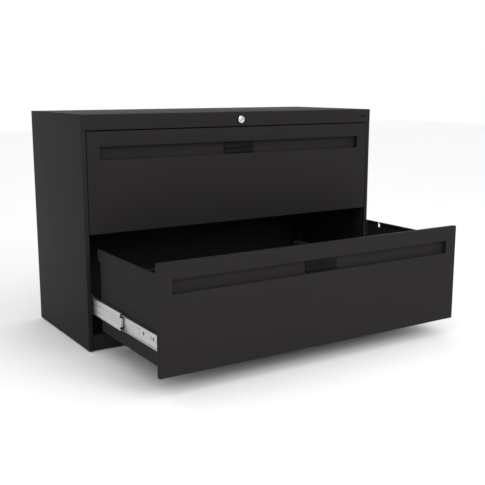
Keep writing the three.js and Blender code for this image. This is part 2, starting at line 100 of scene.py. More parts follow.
soft_lamp("key", 2.0, 2.5, (-3.0, -0.8, 1.3), (0, 0, 0.3))
soft_lamp("fill", 1.6, 40, (0.6, -3.0, 1.9), (0, 0, 0.2))
soft_lamp("overhead", 2.5, 9, (0.3, -0.6, 2.8), (0, -0.2, 0.3))

# %% [markdown]
# ## Shader maths as Python
# A finish is a small calculation on noise. Wrapping a socket in a class with operators lets the
# calculation be written as it would be on paper, and each operator adds one Math node. Every other
# node comes from one method, which sets the node's own settings before its sockets.

# %% Sockets with operators
class Signal:
    """A value in a shader. Sums, differences and products of it are Math nodes."""

    def __init__(self, finish, socket):
        self.finish, self.socket = finish, socket

    def _maths(self, operation, first, second):
        return self.finish.node("ShaderNodeMath", {"operation": operation}, {0: first, 1: second})

    def __add__(self, other): return self._maths("ADD", self, other)
    def __radd__(self, other): return self._maths("ADD", other, self)
    def __sub__(self, other): return self._maths("SUBTRACT", self, other)
    def __rsub__(self, other): return self._maths("SUBTRACT", other, self)
    def __mul__(self, other): return self._maths("MULTIPLY", self, other)
    def __rmul__(self, other): return self._maths("MULTIPLY", other, self)


class Finish:
    """A material with a Principled shader. node() adds any other node and gives back one output."""

    def __init__(self, name, **constants):
        self.material = bpy.data.materials.new(name)
        self.material.use_nodes = True
        self.tree = self.material.node_tree
        self.shader = self.tree.nodes["Principled BSDF"]
        for socket, value in constants.items():
            self.shader.inputs[socket.replace("_", " ")].default_value = value
        self.place = self.node("ShaderNodeTexCoord", output="Object")

    def node(self, kind, settings=None, inputs=None, output=0):
        added = self.tree.nodes.new(kind)
        for key, value in (settings or {}).items():
            if key == "stops":
                for stop, (position, shade) in zip(added.color_ramp.elements, value):
                    stop.position, stop.color = position, (shade, shade, shade, 1)
            else:
                setattr(added, key, value)
        for key, value in (inputs or {}).items():
            self.feed(added.inputs[key], value)
        return Signal(self, added.outputs[output])

    def feed(self, socket, value):
        if isinstance(value, Signal):
            self.tree.links.new(value.socket, socket)
        else:
            socket.default_value = value

    def noise(self, scale, detail=2.0, stretch=(1, 1, 1), roughness=0.5):
        """Smooth noise from 0 to 1, with scale in lumps to the metre, drawn out by stretch."""
        where = self.node("ShaderNodeMapping", inputs={"Vector": self.place, "Scale": stretch})
        return self.node("ShaderNodeTexNoise", inputs={"Vector": where, "Scale": scale,
                         "Detail": detail, "Roughness": roughness})

    def ramp(self, value, low, high):
        """0 below low and 1 above high, straight between them."""
        return self.node("ShaderNodeValToRGB", {"stops": [(low, 0.0), (high, 1.0)]}, {0: value})

    def mix(self, share, first, second):
        """A colour between two, by share."""
        return self.node("ShaderNodeMix", {"data_type": "RGBA"},
                         {0: share, 6: first, 7: second}, output=2)

    def surface(self, colour=None, roughness=None, height=None, depth=0.001, strength=1.0):
        """Feeds the shader: a colour, a roughness, and a bump whose full height is depth metres."""
        if colour is not None:
            self.feed(self.shader.inputs["Base Color"], colour)
        if roughness is not None:
            self.feed(self.shader.inputs["Roughness"], roughness)
        if height is not None:
            bump = self.node("ShaderNodeBump", inputs={"Height": height, "Distance": depth,
                             "Strength": strength})
            self.feed(self.shader.inputs["Normal"], bump)
        return self.material


def grey(level, warm=1.0, cool=1.0):
    """A colour of this level, pulled a little to red by warm or to blue by cool."""
    return (level * warm, level, level * cool, 1)


# %% [markdown]
# ## Finishes
# Powder coat is baked plastic dust: it flows almost flat and leaves the fine waves called orange
# peel, with a half-gloss that wanders a little from place to place. The slides are zinc plated,
# which is a bright grey with a drawn grain along the strip and cloudy patches. The lock is
# nickel, and the label holders are moulded black plastic. The lock's ring is the same black plastic,
# its dark colour painted shadow for the gap round the barrel, and the counterweight is raw
# plate with mill scale. Each pattern runs on Object coordinates, so it stays put on its piece.

# %% Powder coat
def powder_coat():
    """Two waves of orange peel for the bump, and slow clouds for the gloss and the shade."""
    finish = Finish("powder_coat", Specular_IOR_Level=0.015)
    clouds = finish.noise(5.0, 3)
    peel = finish.noise(620.0, 1.0) * 0.7 + finish.noise(1500.0, 1.0) * 0.3
    specks = finish.ramp(finish.noise(2600.0, 0.0), 0.62, 0.75)
    shade = finish.mix(clouds, grey(0.0174, 1.11, 1.04), grey(0.0200, 1.11, 1.04))
    shade = finish.mix(specks * 0.25, shade, grey(0.03))
    return finish.surface(shade, clouds * 0.12 + peel * 0.06 + 0.40, peel, 0.00006, 0.5)


# %% Zinc, nickel, plastic and raw steel
def zinc_plate():
    """Grain drawn along Y, clouds of brighter and duller plate, and a few dark specks."""
    finish = Finish("zinc_plate", Metallic=1.0)
    grain = finish.noise(900.0, 2.0, (1, 0.03, 1))
    clouds = finish.noise(38.0, 4.0, (1, 0.6, 1), 0.6)
    specks = finish.ramp(finish.noise(420.0, 1.0), 0.70, 0.78)
    shade = finish.mix(clouds, grey(0.48, 0.99, 1.01), grey(0.62, 0.99, 1.01))
    shade = finish.mix(specks * 0.35, shade, grey(0.22))
    return finish.surface(shade, clouds * 0.16 + grain * 0.10 + 0.28, grain, 0.00004, 0.35)


def nickel_plate():
    """Bright plate with a fine turned grain."""
    finish = Finish("nickel", Metallic=1.0)
    grain = finish.noise(2400.0, 1.0)
    haze = finish.noise(160.0, 2.0)
    shade = finish.mix(haze, grey(0.50, 1.01, 0.98), grey(0.62, 1.01, 0.98))
    return finish.surface(shade, haze * 0.10 + 0.22, grain, 0.00002, 0.3)


def moulded_plastic():
    """Spark-eroded mould texture: fine grain in the bump and in the roughness."""
    finish = Finish("black_plastic", Specular_IOR_Level=0.10)
    grain = finish.noise(1400.0, 2.0)
    clouds = finish.noise(60.0, 2.0)
    shade = finish.mix(clouds, grey(0.0015), grey(0.0028))
    return finish.surface(shade, grain * 0.15 + 0.42, grain, 0.00008, 0.4)


def raw_plate():
    """Mill scale: blue-grey skin with lighter rubbed patches and a rough cut."""
    finish = Finish("bare_steel", Metallic=0.85)
    scale = finish.noise(26.0, 6.0, roughness=0.65)
    rubbed = finish.ramp(finish.noise(9.0, 4.0), 0.45, 0.7)
    shade = finish.mix(rubbed, grey(0.09, 1.0, 1.08), grey(0.24, 1.02, 0.98))
    return finish.surface(shade, scale * 0.3 + 0.38, scale, 0.0003, 0.4)


def bearing_steel():
    """Polished balls, with a trace of grease in the roughness."""
    finish = Finish("bearing_steel", Metallic=1.0)
    grease = finish.noise(300.0, 2.0)
    return finish.surface(finish.mix(grease, grey(0.60), grey(0.70)), grease * 0.12 + 0.08)


paint, zinc, nickel = powder_coat(), zinc_plate(), nickel_plate()
plastic, steel, polished = moulded_plastic(), raw_plate(), bearing_steel()
print("finishes:", [m.name for m in (paint, zinc, nickel, plastic, steel, polished)])

# %% [markdown]
# ## Meshes from arrays
# Every sheet part is a grid of points: a row of lines across the blank and a row along it. A
# function says where each crossing goes once the blank is folded, and a mask leaves out the cells
# that a punch has cut away. Solidify gives the skin its gauge and a small Bevel breaks the cut
# edges, as powder coat does on real sheet.

# %% From a grid to an object
def new_object(name, points, faces):
    """A mesh object at the origin from points in millimetres and their faces. Points that no face
    uses are dropped."""
    used, faces = np.unique(faces, return_inverse=True)
    mesh = bpy.data.meshes.new(name)
    mesh.from_pydata((np.asarray(points, float)[used] * MM).tolist(), [],
                     faces.reshape(-1, 4).tolist())
    thing = bpy.data.objects.new(name, mesh)
    scene.collection.objects.link(thing)
    return thing


def cells(points, keep=None, wrap=False):
    """Quads between neighbouring rows and columns of an (n, m, 3) grid. keep is asked with the x,
    y and z of the cells' centres. wrap joins the last column to the first."""
    rows, columns = points.shape[:2]
    index = np.arange(rows * columns).reshape(rows, columns)
    if wrap:
        index = np.concatenate([index, index[:, :1]], axis=1)
    quads = np.stack([index[:-1, :-1], index[1:, :-1], index[1:, 1:], index[:-1, 1:]], axis=-1)
    quads = quads.reshape(-1, 4)
    if keep is not None:
        quads = quads[keep(*points.reshape(-1, 3)[quads].mean(axis=1).T)]
    return quads


def modifier(thing, kind, **settings):
    """Adds one modifier and sets what is given."""
    added = thing.modifiers.new(kind.lower(), kind)
    for key, value in settings.items():
        setattr(added, key, value)
    return added


def settle(thing, sharp=32):
    """Keeps the mesh that the modifiers make, smooth except at edges sharper than the angle."""
    depsgraph = bpy.context.evaluated_depsgraph_get()
    mesh = bpy.data.meshes.new_from_object(thing.evaluated_get(depsgraph))
    thing.modifiers.clear()
    thing.data = mesh
    mesh.shade_smooth()
    mesh.set_sharp_from_angle(angle=math.radians(sharp))
    return thing


# %% Folded sheet
AXES = {"x": (1, 2, 0), "y": (0, 2, 1), "z": (0, 1, 2)}


def rounded(points, radius, steps=4):
    """A path whose inner corners are arcs. With the half angle h inside a corner, the arc's centre
    is r / sin h from it, the arc starts r / tan h before it, and its points turn evenly."""
    points = np.asarray(points, float)
    radii = np.broadcast_to(radius, len(points) - 2)
    pieces = [points[:1]]
    for before, corner, after, r in zip(points, points[1:], points[2:], radii):
        u, v = ((end - corner) / np.linalg.norm(end - corner) for end in (before, after))
        half = math.acos(float(np.clip(u @ v, -1, 1))) / 2
        if r == 0 or half > 1.57:
            pieces.append(corner[None])
            continue
        centre = corner + (u + v) / np.linalg.norm(u + v) * r / math.sin(half)
        start, end = (corner + leg * r / math.tan(half) - centre for leg in (u, v))
        turn, t = math.pi - 2 * half, np.linspace(0, 1, steps + 1)[:, None]
        arc = (np.sin((1 - t) * turn) * start + np.sin(t * turn) * end) / math.sin(turn)
        pieces.append(centre + arc)
    return np.concatenate([*pieces, points[-1:]])


def handed(side, profile):
    """A profile drawn for the right-hand side, or its mirror image, walked the other way round."""
    return profile if side > 0 else (profile * (-1, 1))[::-1]


def folded(name, profile, stations, axis, gauge=1.0, keep=None, edge=0.16):
    """Sheet bent to a profile and run along an axis: P(i, j) is profile[i] across and stations[j]
    along. The profile is the outer skin, walked with the metal on its left. A table of stations
    gives each line of the profile its own run."""
    first, second, run = AXES[axis]
    stations = np.atleast_2d(np.asarray(stations, float))
    points = np.empty((len(profile), stations.shape[1], 3))
    points[..., first], points[..., second] = profile[:, None, 0], profile[:, None, 1]
    points[..., run] = stations
    quads = cells(points, keep)
    thing = new_object(name, points.reshape(-1, 3), quads[:, ::-1] if axis == "y" else quads)
    modifier(thing, "SOLIDIFY", thickness=gauge * MM, offset=-1, use_even_offset=True)
    modifier(thing, "BEVEL", width=edge * MM, segments=2, limit_method="ANGLE",
             angle_limit=math.radians(50))
    return settle(thing)


# %% Turned and extruded pieces
def closed_up(thing):
    """Merges the doubles of a seam or a pole and turns all faces outwards."""
    work = bmesh.new()
    work.from_mesh(thing.data)
    bmesh.ops.remove_doubles(work, verts=work.verts, dist=1e-6)
    bmesh.ops.dissolve_degenerate(work, edges=work.edges, dist=1e-7)
    bmesh.ops.recalc_face_normals(work, faces=work.faces)
    work.to_mesh(thing.data)
    work.free()
    return thing


def turned(name, profile, centre, axis, sides=48, sharp=32):
    """A profile of (radius, height) points spun round an axis: P(i, a) = centre + r(i) (cos a, sin a)
    across and h(i) along."""
    profile = np.asarray(profile, float)
    first, second, run = AXES[axis]
    angle = np.linspace(0, 2 * np.pi, sides, endpoint=False)
    points = np.empty((len(profile), sides, 3))
    points[..., first] = centre[0] + profile[:, :1] * np.cos(angle)
    points[..., second] = centre[1] + profile[:, :1] * np.sin(angle)
    points[..., run] = profile[:, 1:]
    thing = new_object(name, points.reshape(-1, 3), cells(points, wrap=True))
    return settle(closed_up(thing), sharp)


def extruded(name, outline, span, axis, edge=0.3, segments=2):
    """A closed outline given length along an axis, with its ends filled and its edges rounded."""
    first, second, run = AXES[axis]
    outline = np.asarray(outline, float)
    points = np.empty((2, len(outline), 3))
    points[..., first], points[..., second] = outline[:, 0], outline[:, 1]
    points[..., run] = np.asarray(span, float)[:, None]
    thing = new_object(name, points.reshape(-1, 3), cells(points, wrap=True))
    work = bmesh.new()
    work.from_mesh(thing.data)
    bmesh.ops.holes_fill(work, edges=work.edges)
    bmesh.ops.recalc_face_normals(work, faces=work.faces)
    work.to_mesh(thing.data)
    work.free()
    if edge:
        modifier(thing, "BEVEL", width=edge * MM, segments=segments, limit_method="ANGLE",
                 angle_limit=math.radians(40))
    return settle(thing)


# %% Punching
def slot_outline(a, b, length, width, upright=True, steps=8):
    """A slot: two half circles of half the width, their centres (length - width) / 2 from (a, b).
    When the two are equal it is a round hole, and the halves share their ends."""
    angle = np.linspace(0, np.pi, steps + 1)
    end = np.stack([np.cos(angle), np.sin(angle)], axis=-1) * width / 2 + (0, (length - width) / 2)
    end = end if length > width else end[:-1]
    ring = np.concatenate([end, -end])
    return (ring if upright else ring[:, ::-1]) + (a, b)


def punched(thing, slots, axis, reach):
    """Cuts slots, given as (a, b, length, width, upright), right through between two depths."""
    for a, b, length, width, upright in slots:
        tool = extruded("punch", slot_outline(a, b, length, width, upright), reach, axis, edge=0)
        modifier(thing, "BOOLEAN", operation="DIFFERENCE", object=tool, solver="EXACT")
        settle(thing)
        bpy.data.objects.remove(tool)
    return thing


def repeated(name, shape, places):
    """A closed grid, its last column joined to its first, repeated at each of the places."""
    whole = np.asarray(places, float)[:, None, :] + shape.reshape(1, -1, 3)
    offsets = np.arange(len(places))[:, None, None] * shape.shape[0] * shape.shape[1]
    quads = cells(shape, wrap=True)[None] + offsets
    thing = new_object(name, whole.reshape(-1, 3), quads.reshape(-1, 4))
    return settle(closed_up(thing), 60)


def domes(name, centres, radius, height, axis, facing, sides=16, rows=4):
    """Round heads on a sheet: a cap whose height falls off as the cosine of its share of radius,
    closed by a disc just under the sheet's face."""
    first, second, run = AXES[axis]
    angle = np.linspace(0, 2 * np.pi, sides, endpoint=False)
    share = np.append(np.linspace(0, 1, rows + 1), [1, 0])[:, None]
    rise = np.where(np.arange(rows + 3)[:, None] > rows, -0.1, height * np.cos(share * np.pi / 2))
    cap = np.empty((rows + 3, sides, 3))
    cap[..., first], cap[..., second] = share * radius * np.cos(angle), share * radius * np.sin(angle)
    cap[..., run] = facing * rise
    return repeated(name, cap, centres)


# %% Riding, finish and what a piece stands for
def span(node):
    """Lowest and highest corner of a CAD piece, in millimetres."""
    low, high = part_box(node)
    return np.array(low) / MM, np.array(high) / MM


bodies = frame["record"]["behaviour"]["bodies"]
body_of = {node: body for body, nodes in bodies.items() for node in nodes}


def dress(thing, finish, node, stands_for=True):
    """Gives a piece its finish and slot, and lets it ride with a CAD node and stand for it."""
    thing.data.materials.clear()
    thing.data.materials.append(finish)
    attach(thing, body_of[node])
    if stands_for:
        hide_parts(node)
    return thing


def softened(node, edge=0.3, segments=2):
    """A copy of a CAD node, its doubles merged and its edges rounded."""
    thing = frame["nodes"][node].copy()
    thing.data = frame["nodes"][node].data.copy()
    thing.name = node + "_soft"
    thing.parent = None
    for key in [key for key in thing.keys() if key.startswith("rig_")]:
        del thing[key]
    scene.collection.objects.link(thing)
    work = bmesh.new()
    work.from_mesh(thing.data)
    bmesh.ops.remove_doubles(work, verts=work.verts, dist=1e-6)
    bmesh.ops.dissolve_limit(work, angle_limit=math.radians(1), verts=work.verts, edges=work.edges)
    work.to_mesh(thing.data)
    work.free()
    modifier(thing, "BEVEL", width=edge * MM, segments=segments, limit_method="ANGLE",
             angle_limit=math.radians(35), use_clamp_overlap=True)
    return settle(thing, 35)


# %% [markdown]
# ## Side panels
# A side is one sheet: the stile at the front is folded round and back on itself, and a flange
# turns in at the rear. Seen from above it is a long hook, so it is a path in X and Y run up the
# height. The stile stops under the header, which the mask cuts away.

# %% Side panels
HANDS = (("left", -1), ("right", 1))
DRAWERS = ("lower", "upper")
sheet, heavy, fold = 1.0, 1.3, 1.3  # gauges of the panels and of the strip, and the bend radius
stile_width, return_depth, rear_flange, rear_flange_top = 13.0, 12.5, 18.0, 679
under_header = 0.3  # the gap that keeps the stile clear of the header
top_low, top_high = span("top_panel")
header_low, case_depth, half_width = top_low[2], top_high[1], top_high[0]
stile_inner = half_width - stile_width
for hand, side in HANDS:
    node = f"side_panel_{hand}"
    low, high = span(node)
    flange = max(abs(low[0]), abs(high[0])) - rear_flange
    skin = half_width - 0.04  # a hair inside the edge of the top
    path = rounded([(stile_inner, return_depth), (stile_inner, 0), (skin, 0), (skin, 5),
                    (skin, case_depth), (flange, case_depth)], [fold, fold, 0, fold])

    def kept(x, y, z):
        stile = (y < 1.4) | ((abs(x) < stile_inner + 1) & (y < return_depth))
        flange_end = (y > case_depth - 0.5) & (abs(x) < half_width - 2)
        return ~((stile & (z > header_low - under_header)) | (flange_end & (z > rear_flange_top)))

    levels = [low[2], header_low - under_header, rear_flange_top, high[2]]
    side_panel = folded(f"{node}_sheet", handed(side, path), levels, "z", sheet, kept)
    dress(side_panel, paint, node)
print("side panels:", low.round(1), high.round(1))

# %% [markdown]
# ## Top and header
# The top runs over the sides and folds down at the front into the header, whose lower edge turns
# back and up so that no hand meets a cut edge. It is a path in Y and Z run across the width. The
# lock goes through one round hole.

# %% Top, header and its liner
lock_z, lock_hole, rear_lip, header_lip = 674.5, 19.6, 19, 11
path = rounded([(case_depth, top_high[2] - rear_lip), (case_depth, top_high[2]), (0, top_high[2]),
                (0, header_low), (return_depth, header_low), (return_depth, header_low + header_lip)],
               fold)
inner = half_width - 1.3
top = folded("top_panel_sheet", path, [-half_width, -inner, inner, half_width], "x", sheet,
             lambda x, y, z: (abs(x) < inner) | ((z > top_high[2] - 0.8) | (y < 0.8)))
punched(top, [(0, lock_z, lock_hole, lock_hole, True)], "y", (-2, 4))
dress(top, paint, "top_panel")

low, high = span("header_liner")
path = rounded([(high[1], high[2]), (low[1], high[2]), (low[1], low[2])], fold)
liner = folded("header_liner_sheet", path, [low[0], high[0]], "x", sheet)
punched(liner, [(0, lock_z, lock_hole, lock_hole, True)], "y", (low[1] - 2, low[1] + 3))
dress(liner, paint, "header_liner")
print("top:", len(top.data.polygons), "faces")

# %% [markdown]
# ## Base pan, back and uprights
# The base is one pan whose front edge stands up as the toe rail. The back is a thin panel that
# would drum if it were flat, so two shallow fields are pressed into it. The four uprights are
# channels punched with slots, and carry the fixed members of the slides.

# %% Base pan
low, high = span("base_pan")
rail_half, toe_depth, toe_lip, rail_end, stem_hole = 519.5, 20, 9, 13.5, 8.6
toe_back = low[1] + toe_depth
path = rounded([(toe_back, high[2] - toe_lip), (toe_back, high[2]), (low[1], high[2]),
                (low[1], low[2]), (rail_end, low[2]), (high[1], low[2])], [fold, fold, fold, 0])
pan = folded("base_pan_sheet", path, [low[0], -rail_half, rail_half, high[0]], "x", sheet,
             lambda x, y, z: (abs(x) < rail_half) | (y > rail_end))
glides = [f"glide_{end}_{hand}" for end in ("front", "rear") for hand, side in HANDS]
glide_places = {name: sum(span(name)) / 2 for name in glides}
punched(pan, [(x, y, stem_hole, stem_hole, True) for x, y, _ in glide_places.values()], "z", (0, 8))
dress(pan, paint, "base_pan")
print("base:", len(pan.data.polygons), "faces")


# %% Back panel
def pressed(x, z, fields, margin, ramp, depth):
    """Depth pressed in at (x, z): for each field, depth times a smooth step of the distance inside
    its edge, 3t^2 - 2t^3 with t from 0 to 1 over the ramp."""
    total = np.zeros_like(x)
    for x0, x1, z0, z1 in fields:
        inside = np.minimum(np.minimum(x - x0, x1 - x), np.minimum(z - z0, z1 - z)) - margin
        t = np.clip(inside / ramp, 0, 1)
        total += depth * (3 * t ** 2 - 2 * t ** 3)
    return total


low, high = span("back_panel")
x, z = np.meshgrid(np.linspace(low[0], high[0], 240), np.linspace(low[2], high[2], 160),
                   indexing="ij")
fields = [(low[0], 0, low[2], high[2]), (0, high[0], low[2], high[2])]
back_points = np.stack([x, high[1] - pressed(x, z, fields, 30, 12, 4.0), z], axis=-1)
back = new_object("back_panel_sheet", back_points.reshape(-1, 3), cells(back_points)[:, ::-1])
modifier(back, "SOLIDIFY", thickness=sheet * MM, offset=-1)
dress(settle(back), paint, "back_panel")

# %% Uprights
lug_rows, slot_height = [(197.2, 218.8), (498.2, 519.8)], 14
slot_rows = lug_rows + [(z, z + slot_height) for z in (80, 250, 290, 330, 380, 420, 550, 590, 630)]
for end in ("front", "rear"):
    for hand, side in HANDS:
        node = f"upright_{end}_{hand}"
        low, high = span(node)
        web, wall = min(abs(low[0]), abs(high[0])), max(abs(low[0]), abs(high[0]))
        punch = (35.4, 39.6) if end == "front" else (low[1] + 20, low[1] + 26)
        path = rounded([(wall, high[1]), (web, high[1]), (web, punch[1]), (web, punch[0]),
                        (web, low[1]), (wall, low[1])], [fold, 0, 0, fold])

        def kept(x, y, z):
            strip = (punch[0] < y) & (y < punch[1]) & (abs(x) < web + 0.5)
            return ~(strip & np.any([(a < z) & (z < b) for a, b in slot_rows], axis=0))

        stations = sorted([low[2], high[2], *np.ravel(slot_rows)])
        upright = folded(f"{node}_channel", handed(side, path), stations, "z", heavy, kept)
        dress(upright, paint, node)
print("uprights:", web, wall)

# %% [markdown]
# ## Counterweight and levelling glides
# A steel plate lies in the base so that the open drawer can't tip the cabinet. It is flame-cut
# and bolted down. The glides are a foot, a threaded stem and a lock nut.

# %% Counterweight
dress(softened("counterweight", 0.8), steel, "counterweight")
low, high = span("counterweight")
hexagon, bolt_radius, nut_radius = np.linspace(0, 2 * np.pi, 6, endpoint=False), 9.5, 7.5
for i, x in enumerate((low[0] + 30, high[0] - 30)):
    for j, y in enumerate((low[1] + 25, high[1] - 25)):
        head = np.stack([x + bolt_radius * np.cos(hexagon), y + bolt_radius * np.sin(hexagon)], axis=-1)
        bolt = extruded(f"counterweight_bolt_{i}{j}", head, (high[2] - 0.2, high[2] + 6), "z", 0.6)
        dress(bolt, zinc, "counterweight", False)

# %% Glides
ridge = np.arange(6.0, 19.0, 0.75)
thread = np.stack([4.0 - 0.35 * (np.arange(len(ridge)) % 2), ridge], axis=-1)
foot = [(0, 0), (14.6, 0), (15.7, 0.5), (16, 1.2), (15.6, 1.9), (13, 2.3), (4.0, 2.5), (4.0, 5.6)]
for name, place in glide_places.items():
    profile = [*foot, *thread, (3.6, 19.6), (3.0, 20), (0, 20)]
    dress(turned(f"{name}_foot", profile, place[:2], "z", 32), plastic, name)
    ring = np.stack([place[0] + nut_radius * np.cos(hexagon), place[1] + nut_radius * np.sin(hexagon)],
                    axis=-1)
    dress(extruded(f"{name}_nut", ring, (5.0, 9.0), "z", 0.5), plastic, name, False)
print("glides:", len(glide_places))

# %% [markdown]
# ## Lock
# The lock is a turned barrel in a ring that is black to paint the shadow in the gap round it. The
# plug inside it turns with the key and swings a cam behind the header, which pushes a flat bar and
# so moves the interlock's rod. The turned parts are profiles spun round the lock's axis, and the
# flat parts keep their CAD shape with soft edges.
# A blank plate sits at the right end of the header.

# %% Bezel, barrel and plug
axis_place = (0, lock_z)
# The ring is black plastic whose dark colour is painted shadow for the gap round the barrel.
bezel = [(11.9, -0.4), (11.9, -1.6), (12.3, -2.0), (13.6, -2.0), (14.6, -1.5), (15.0, -0.7),
         (15.0, -0.3), (11.9, -0.3), (11.9, -0.4)]
dress(turned("lock_ring_painted_shadow", bezel, axis_place, "y", 64, 50), plastic, "lock_bezel")
barrel = [(6.3, -2.2), (6.9, -2.4), (7.2, -2.2), (7.6, -2.2), (8.0, -2.5), (10.7, -2.5), (11.3, -2.2),
          (11.5, -1.6), (11.5, -0.4), (9.5, -0.4), (9.5, 28.6), (9.1, 29), (6.3, 29), (6.3, -2.2)]
dress(turned("lock_barrel_body", barrel, axis_place, "y", 64, 30), nickel, "lock_barrel")
plug = turned("lock_plug_body", [(0, -2.8), (5.2, -2.8), (5.8, -2.6), (6.0, -2.2), (6.0, 30), (0, 30)],
              axis_place, "y", 64, 30)
punched(plug, [(0, lock_z, 7.4, 1.5, True)], "y", (-4, 8))
dress(plug, nickel, "lock_plug")
tail = extruded("lock_plug_tail", [(-3, lock_z - 3), (3, lock_z - 3), (3, lock_z + 3), (-3, lock_z + 3)],
                (29.8, 35.1), "y", 0.3)
dress(tail, nickel, "lock_plug", False)
for node in ("lock_cam", "lock_bar", "interlock_rod"):
    dress(softened(node, 0.25), zinc, node)

# %% Blank plate on the header
badge = slot_outline(503, 677, 24, 7, upright=False)
dress(extruded("header_badge", badge, (-0.7, 0.0), "y", 0.25), plastic, "top_panel", False)
print("lock and badge made")

# %% [markdown]
# ## Drawer fronts
# A front is a shallow pan with a long window for the fingers. Nested rounded rectangles describe it
# well: one for the flange's edge, a few for the fold, one for the face, and a few more for the
# rolled edge of the window. Joining each to the next gives a clean skin with no stray diagonals.

# %% Loops and lofting
def loop(half, low, high, radius, y, steps=5):
    """A rounded rectangle at one y: four quarter circles, each corner's centre the radius inside."""
    angle = np.linspace(0, np.pi / 2, steps + 1) + np.arange(4)[:, None] * np.pi / 2
    centre_x = np.array([1, -1, -1, 1])[:, None] * (half - radius)
    centre_z = np.array([high - radius, high - radius, low + radius, low + radius])[:, None]
    across = centre_x + radius * np.cos(angle)
    up = centre_z + radius * np.sin(angle)
    return np.stack([across, np.full_like(across, y), up], axis=-1).reshape(-1, 3)


def pan_front(name, low, high, window_low, window_high, window_half, gauge=1.0, bend=1.5, lip=0.7):
    """The skin of a drawer front, lofted from the flange's edge to the window. In the fold, with t
    from 0 to 90 degrees, the loop is bend (1 - cos t) smaller and bend (1 - sin t) behind the face."""
    face, half = low[1], high[0]
    fold_turn = np.linspace(0, np.pi / 2, 5)
    lip_turn = np.linspace(0, np.pi / 2, 4)
    loops = [loop(half, low[2], high[2], 1.6, face + 12.5)]
    for t in fold_turn:
        inset = bend * (1 - math.cos(t))
        loops.append(loop(half - inset, low[2] + inset, high[2] - inset, 1.6 - inset * 0.6,
                          face + bend * (1 - math.sin(t))))
    for t in lip_turn:
        outset = lip * (1 - math.sin(t))
        loops.append(loop(window_half + outset, window_low - outset, window_high + outset,
                          1.2 + outset, face + lip * (1 - math.cos(t))))
    points = np.stack(loops)
    thing = new_object(name, points.reshape(-1, 3), cells(points, wrap=True)[:, ::-1])
    modifier(thing, "SOLIDIFY", thickness=gauge * MM, offset=-1)
    modifier(thing, "BEVEL", width=0.15 * MM, segments=2, limit_method="ANGLE",
             angle_limit=math.radians(50))
    return settle(thing)


# %% Fronts, pulls and label holders
window_drop, window_height, window_margin = 44.5, 38.5, 39.5
channel_flange, rib_height, label_plate = 9, 4, 2
for drawer in DRAWERS:
    low, high = span(f"{drawer}_drawer_front")
    window_high = high[2] - window_drop
    window_low, window_half = window_high - window_height, high[0] - window_margin
    front = pan_front(f"{drawer}_front_pan", low, high, window_low, window_high, window_half)
    dress(front, paint, f"{drawer}_drawer_front")

    node = f"{drawer}_pull_channel"
    c_low, c_high = span(node)
    face, wall = c_low[1], c_high[1] - sheet
    ceiling, shelf = c_high[2] - channel_flange, c_low[2] + channel_flange + sheet
    path = rounded([(face, c_high[2]), (face, ceiling), (wall, ceiling), (wall, shelf), (face, shelf),
                    (face, c_low[2])], [1.2, 3.0, 3.0, 1.2])
    channel = folded(f"{drawer}_pull_trough", path, [c_low[0], c_high[0]], "x", sheet)
    dress(channel, paint, node)
    for hand, side in HANDS:
        ends = sorted((side * c_high[0], side * (c_high[0] - sheet)))
        plate = [(face, shelf - sheet), (c_high[1], shelf - sheet), (c_high[1], ceiling + sheet),
                 (face, ceiling + sheet)]
        cap = extruded(f"{drawer}_pull_end_{hand}", plate, ends, "x", 0.2)
        dress(cap, paint, node, False)

    node = f"{drawer}_label_holder"
    l_low, l_high = span(node)
    front_y, plate_y, back_y = l_low[1], l_high[1] - label_plate, l_high[1]
    waist = (l_low[2] + l_high[2]) / 2
    ribs = [(l_low[2], l_low[2] + rib_height), (waist - rib_height / 2, waist + rib_height / 2),
            (l_high[2] - rib_height, l_high[2])]
    outline = [(back_y, l_high[2]), (back_y, l_low[2])]
    for a, b in ribs:
        outline += [(plate_y, a), (front_y, a), (front_y, b), (plate_y, b)]
    holder = extruded(f"{drawer}_label_frame", outline, (l_low[0], l_high[0]), "x", 0.5, 3)
    dress(holder, plastic, node)
print("fronts:", low.round(1), high.round(1))

# %% [markdown]
# ## Drawer bodies
# The sides are sheet with a hemmed top, an ear that runs on behind the drawer and a fold for its
# back. The bottom has pressed beads so that it doesn't sag under paper, and the divider is an L
# with a hemmed top and a tapering rear edge, so each line of its profile has a run of its own.

# %% Drawer sides
hem, ear, ear_height, rear_fold, outer = 6.0, 19.0, 35.0, 15, 506.2
for drawer in DRAWERS:
    for hand, side in HANDS:
        node = f"{drawer}_drawer_side_{hand}"
        low, high = span(node)
        start, ear_end = low[1], high[1]
        end = ear_end - ear
        bottom, rim = low[2], high[2]
        notch = (end - 60, end - 52)
        path = rounded([(outer, bottom), (outer, rim - ear_height), (outer, rim - 18), (outer, rim),
                        (outer - hem, rim), (outer - hem, rim - 5)], [0, 0, 1.2, 1.2])

        def kept(x, y, z):
            turned_in = abs(x) < outer - 0.6
            behind = (y > end) & (z < rim - ear_height) & ~turned_in
            early = turned_in & (y < start + 6)
            cut = (side > 0) & (notch[0] < y) & (y < notch[1]) & (z > rim - 18)
            return ~(behind | early | cut)

        stations = [start, start + 6, *notch, end, ear_end]
        wall = folded(f"{node}_sheet", handed(side, path), stations, "y", sheet, kept)
        middle = start + 151.5
        marks = [(middle, bottom + 113.5, 15, 4, True), (start + 29, bottom + 8, 4, 4, True)]
        reach = sorted((side * (outer + 2), side * (outer - 3)))
        punched(wall, marks, "x", reach)
        dress(wall, paint, node)
        path = rounded([(outer - 0.1, end - 3), (outer - 0.1, end - 0.1), (outer - rear_fold, end - 0.1)],
                       1.2)
        fold_in = folded(f"{node}_fold", handed(side, path), [bottom, rim - 1.2], "z", 0.9)
        dress(fold_in, paint, node, False)
        spots = [(side * (outer - 0.05), start + 328, bottom + 114.5),
                 (side * (outer - 0.05), start + 46, bottom + 178.5)]
        dress(domes(f"{node}_welds", spots, 2.6, 0.35, "x", side), paint, node, False)
print("drawer sides:", low.round(1), high.round(1))

